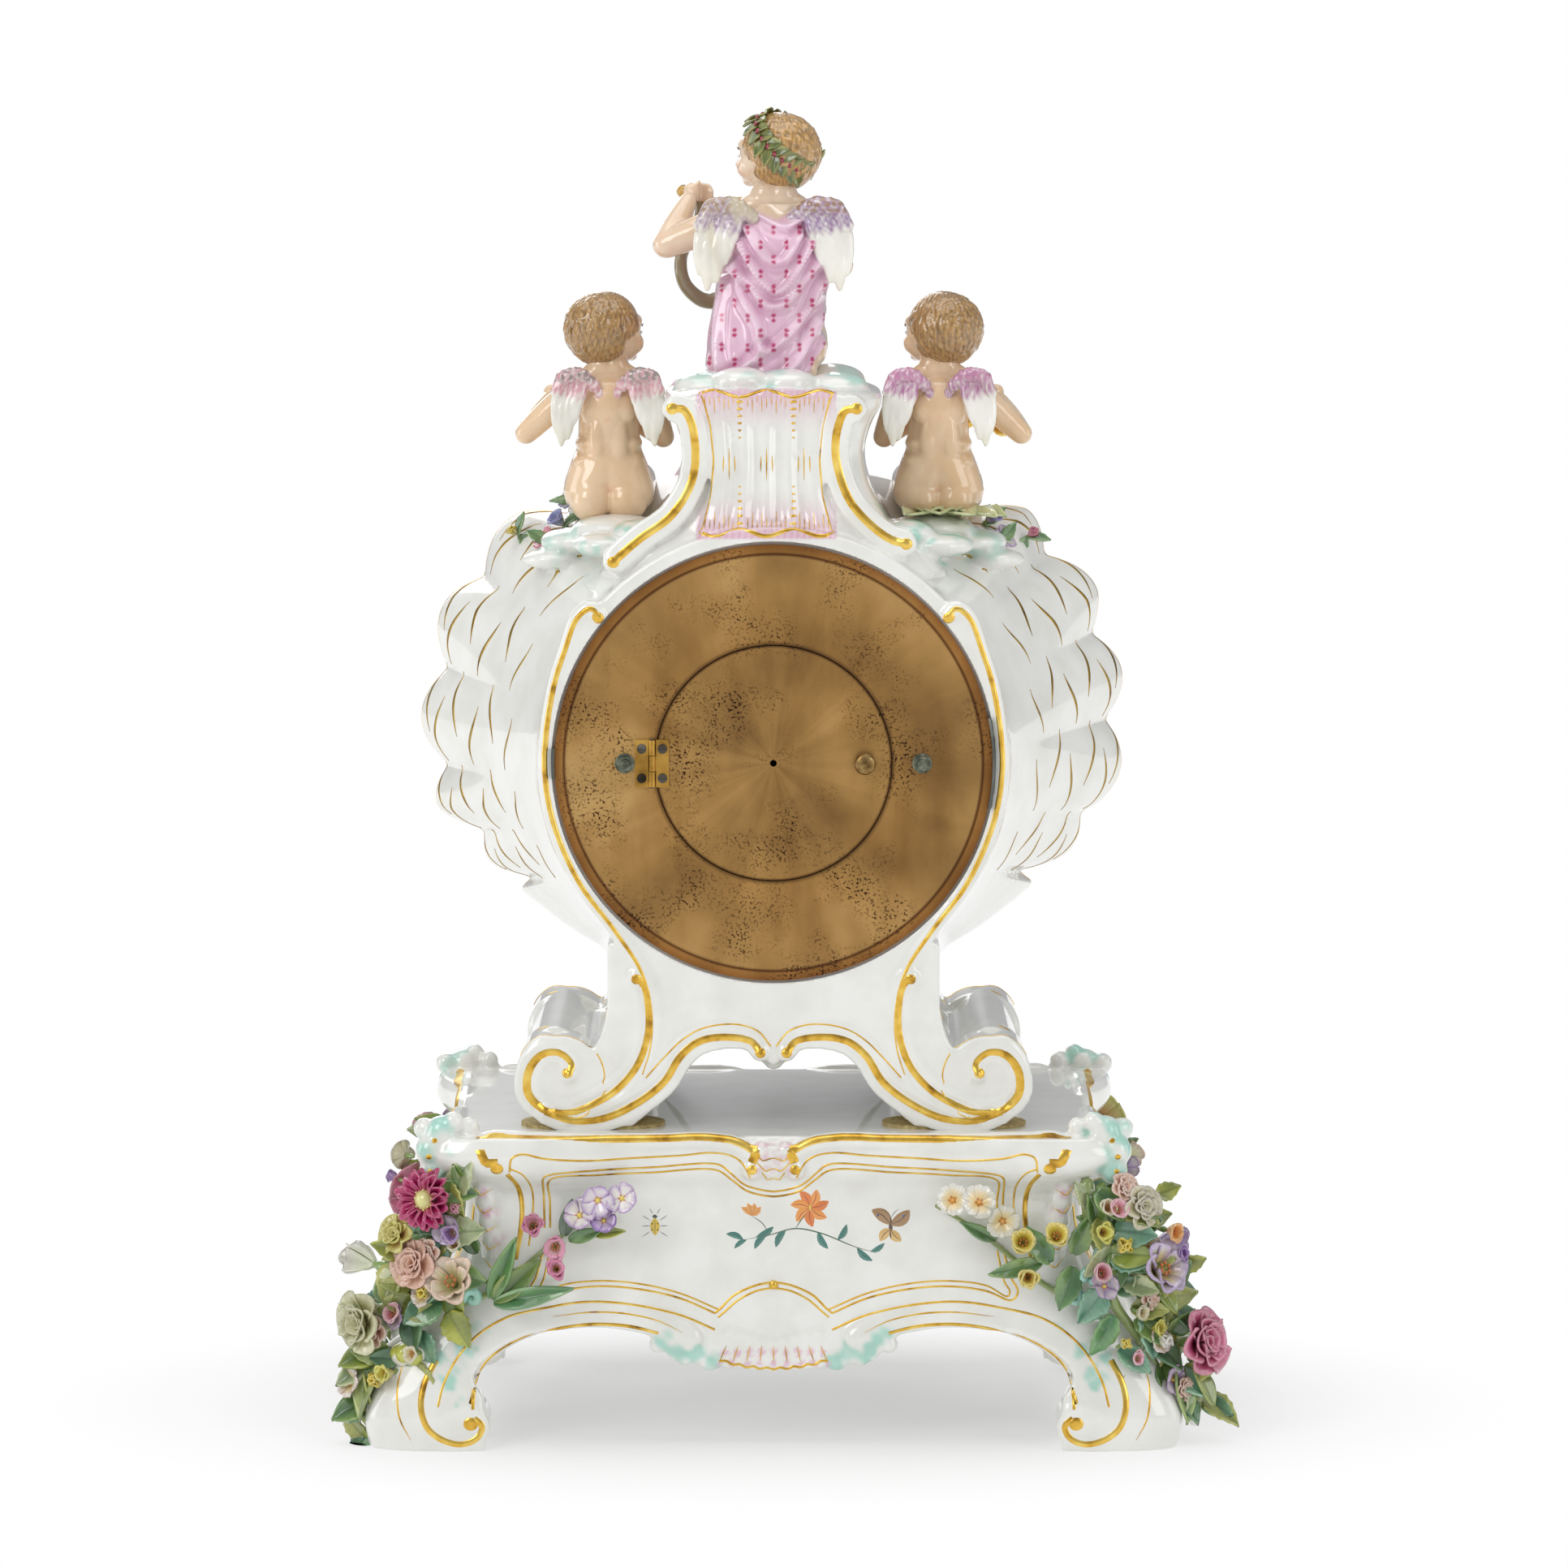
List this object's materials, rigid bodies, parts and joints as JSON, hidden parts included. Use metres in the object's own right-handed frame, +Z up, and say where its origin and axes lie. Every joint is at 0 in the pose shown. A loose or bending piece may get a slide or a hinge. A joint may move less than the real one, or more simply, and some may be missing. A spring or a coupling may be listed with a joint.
{
  "type": "porcelain mantel clock",
  "caption": "Rococo glazed porcelain mantel clock on a stand, with winged putti, applied flowers, a brass back with an inner door, and a striking pendulum movement.",
  "frame": {"origin": "on the table, at the centre of the stand's footprint", "axes": "+Z up, dial towards -Y, brass back towards +Y, +X to the left seen from the back"},
  "size_m": [0.4106, 0.2622, 0.5872],
  "materials": {
    "porcelain": "glazed, with gilding and mint and pink tints",
    "bisque_figure": "glazed and painted",
    "painted_wings": "glazed and painted",
    "painted_cloth": "glazed and painted",
    "painted_attribute": "glazed and gilded",
    "applied_flowers": "glazed and painted",
    "wax_bed": "waxy",
    "aged_brass": "turned, patinated",
    "clean_brass": "satin",
    "gilt_brass": "polished gilt",
    "steel": "satin",
    "grey_shim": "dull",
    "bell_metal": "turned",
    "enamel": "vitreous enamel",
    "hand_gilt": "polished",
    "crystal": "clear"
  },
  "bodies": {
    "case": {"stand": "porcelain", "case_body": "porcelain", "foot_beds": "wax_bed", "top_putto": "bisque_figure", "top_putto_wings": "painted_wings", "top_putto_drapery": "painted_cloth", "top_putto_lyre": "painted_attribute", "left_putto": "bisque_figure", "left_putto_wings": "painted_wings", "left_putto_flute": "painted_attribute", "right_putto": "bisque_figure", "right_putto_wings": "painted_wings", "right_putto_horn": "painted_attribute", "shoulder_flowers": "applied_flowers", "garland_back_left": "applied_flowers", "garland_back_right": "applied_flowers", "garland_front_left": "applied_flowers", "garland_front_right": "applied_flowers", "back_plate": "aged_brass", "door_stop_ring": "aged_brass", "hinge_plate_leaf": "clean_brass", "hinge_pin": "steel", "hinge_plate_screws": "steel", "tie_rods": "aged_brass", "edge_shims": "grey_shim", "bezel_ring": "gilt_brass", "movement_ring": "gilt_brass", "bezel_hinge_pin": "steel", "dial": "enamel", "front_plate": "clean_brass", "rear_plate": "clean_brass", "plate_pillars": "clean_brass", "back_cock": "clean_brass", "bell": "bell_metal", "winding_clicks": "steel"},
    "rear_door": {"back_door": "aged_brass", "door_knob": "clean_brass", "hinge_door_leaf": "clean_brass", "hinge_door_screws": "steel"},
    "bezel": {"bezel_door": "gilt_brass", "bezel_glass": "crystal"},
    "centre": {"centre_arbor": "clean_brass", "cannon_pinion": "clean_brass", "minute_hand": "hand_gilt"},
    "hour": {"hour_wheel": "clean_brass", "hour_hand": "hand_gilt"},
    "minute": {"minute_wheel": "clean_brass"},
    "going": {"going_barrel": "clean_brass", "going_mainspring": "steel"},
    "going_wind": {"going_arbor": "steel"},
    "third": {"third_arbor": "clean_brass"},
    "escape": {"escape_arbor": "clean_brass"},
    "escapement": {"anchor": "steel"},
    "pendulum": {"pendulum_rod": "clean_brass", "pendulum_bob": "clean_brass"},
    "strike": {"strike_barrel": "clean_brass"},
    "strike_wind": {"strike_arbor": "steel"},
    "pins": {"pin_wheel": "clean_brass"},
    "vane": {"fly": "clean_brass"},
    "striker": {"hammer": "steel"}
  },
  "joints": [
    {"name": "back_door_hinge", "type": "hinge", "parent": "case", "child": "rear_door", "pos_m": [0.05346, 0.0841, 0.3025], "axis": [0, 0, -1], "range_deg": [0, 110]},
    {"name": "bezel_hinge", "type": "hinge", "parent": "case", "child": "bezel", "pos_m": [0.0802, -0.07535, 0.3025], "axis": [0, 0, 1], "range_deg": [0, 100]},
    {"name": "centre_arbor_spin", "type": "hinge", "parent": "case", "child": "centre", "pos_m": [0, -0.04, 0.3025], "axis": [0, 1, 0], "continuous": true},
    {"name": "hour_wheel_spin", "type": "hinge", "parent": "case", "child": "hour", "pos_m": [0, -0.07, 0.3025], "axis": [0, 1, 0], "continuous": true},
    {"name": "minute_wheel_spin", "type": "hinge", "parent": "case", "child": "minute", "pos_m": [0, -0.065, 0.2905], "axis": [0, 1, 0], "continuous": true},
    {"name": "going_barrel_spin", "type": "hinge", "parent": "case", "child": "going", "pos_m": [0.022, -0.045, 0.2907], "axis": [0, 1, 0], "continuous": true},
    {"name": "third_arbor_spin", "type": "hinge", "parent": "case", "child": "third", "pos_m": [0.013, -0.04, 0.31345], "axis": [0, 1, 0], "continuous": true},
    {"name": "escape_arbor_spin", "type": "hinge", "parent": "case", "child": "escape", "pos_m": [0, -0.04, 0.3201], "axis": [0, 1, 0], "continuous": true},
    {"name": "going_arbor_wind", "type": "hinge", "parent": "case", "child": "going_wind", "pos_m": [0.022, -0.05, 0.2907], "axis": [0, 1, 0], "continuous": true},
    {"name": "strike_arbor_wind", "type": "hinge", "parent": "case", "child": "strike_wind", "pos_m": [-0.022, -0.05, 0.2907], "axis": [0, 1, 0], "continuous": true},
    {"name": "pendulum_swing", "type": "hinge", "parent": "case", "child": "pendulum", "pos_m": [0, -0.015, 0.3331], "axis": [0, 1, 0], "range_deg": [-3, 3]},
    {"name": "anchor_rock", "type": "hinge", "parent": "case", "child": "escapement", "pos_m": [0, -0.04, 0.3331], "axis": [0, 1, 0], "range_deg": [-3, 3]},
    {"name": "strike_barrel_spin", "type": "hinge", "parent": "case", "child": "strike", "pos_m": [-0.022, -0.04, 0.2907], "axis": [0, 1, 0], "continuous": true},
    {"name": "pin_wheel_spin", "type": "hinge", "parent": "case", "child": "pins", "pos_m": [-0.017, -0.04, 0.31515], "axis": [0, 1, 0], "continuous": true},
    {"name": "fly_spin", "type": "hinge", "parent": "case", "child": "vane", "pos_m": [-0.0273, -0.04, 0.3211], "axis": [0, 1, 0], "continuous": true},
    {"name": "hammer_swing", "type": "hinge", "parent": "case", "child": "striker", "pos_m": [-0.0355, -0.03, 0.3165], "axis": [0, 1, 0], "range_deg": [0, 12]}
  ],
  "couplings": [
    {"joint": "hour_wheel_spin", "follows": "centre_arbor_spin", "ratio": 0.083333},
    {"joint": "minute_wheel_spin", "follows": "centre_arbor_spin", "ratio": -0.33333},
    {"joint": "going_barrel_spin", "follows": "centre_arbor_spin", "ratio": -0.14286},
    {"joint": "third_arbor_spin", "follows": "centre_arbor_spin", "ratio": -14},
    {"joint": "escape_arbor_spin", "follows": "centre_arbor_spin", "ratio": 177.33},
    {"joint": "anchor_rock", "follows": "pendulum_swing", "ratio": 1},
    {"joint": "pin_wheel_spin", "follows": "strike_barrel_spin", "ratio": -7},
    {"joint": "fly_spin", "follows": "strike_barrel_spin", "ratio": 70}
  ]
}
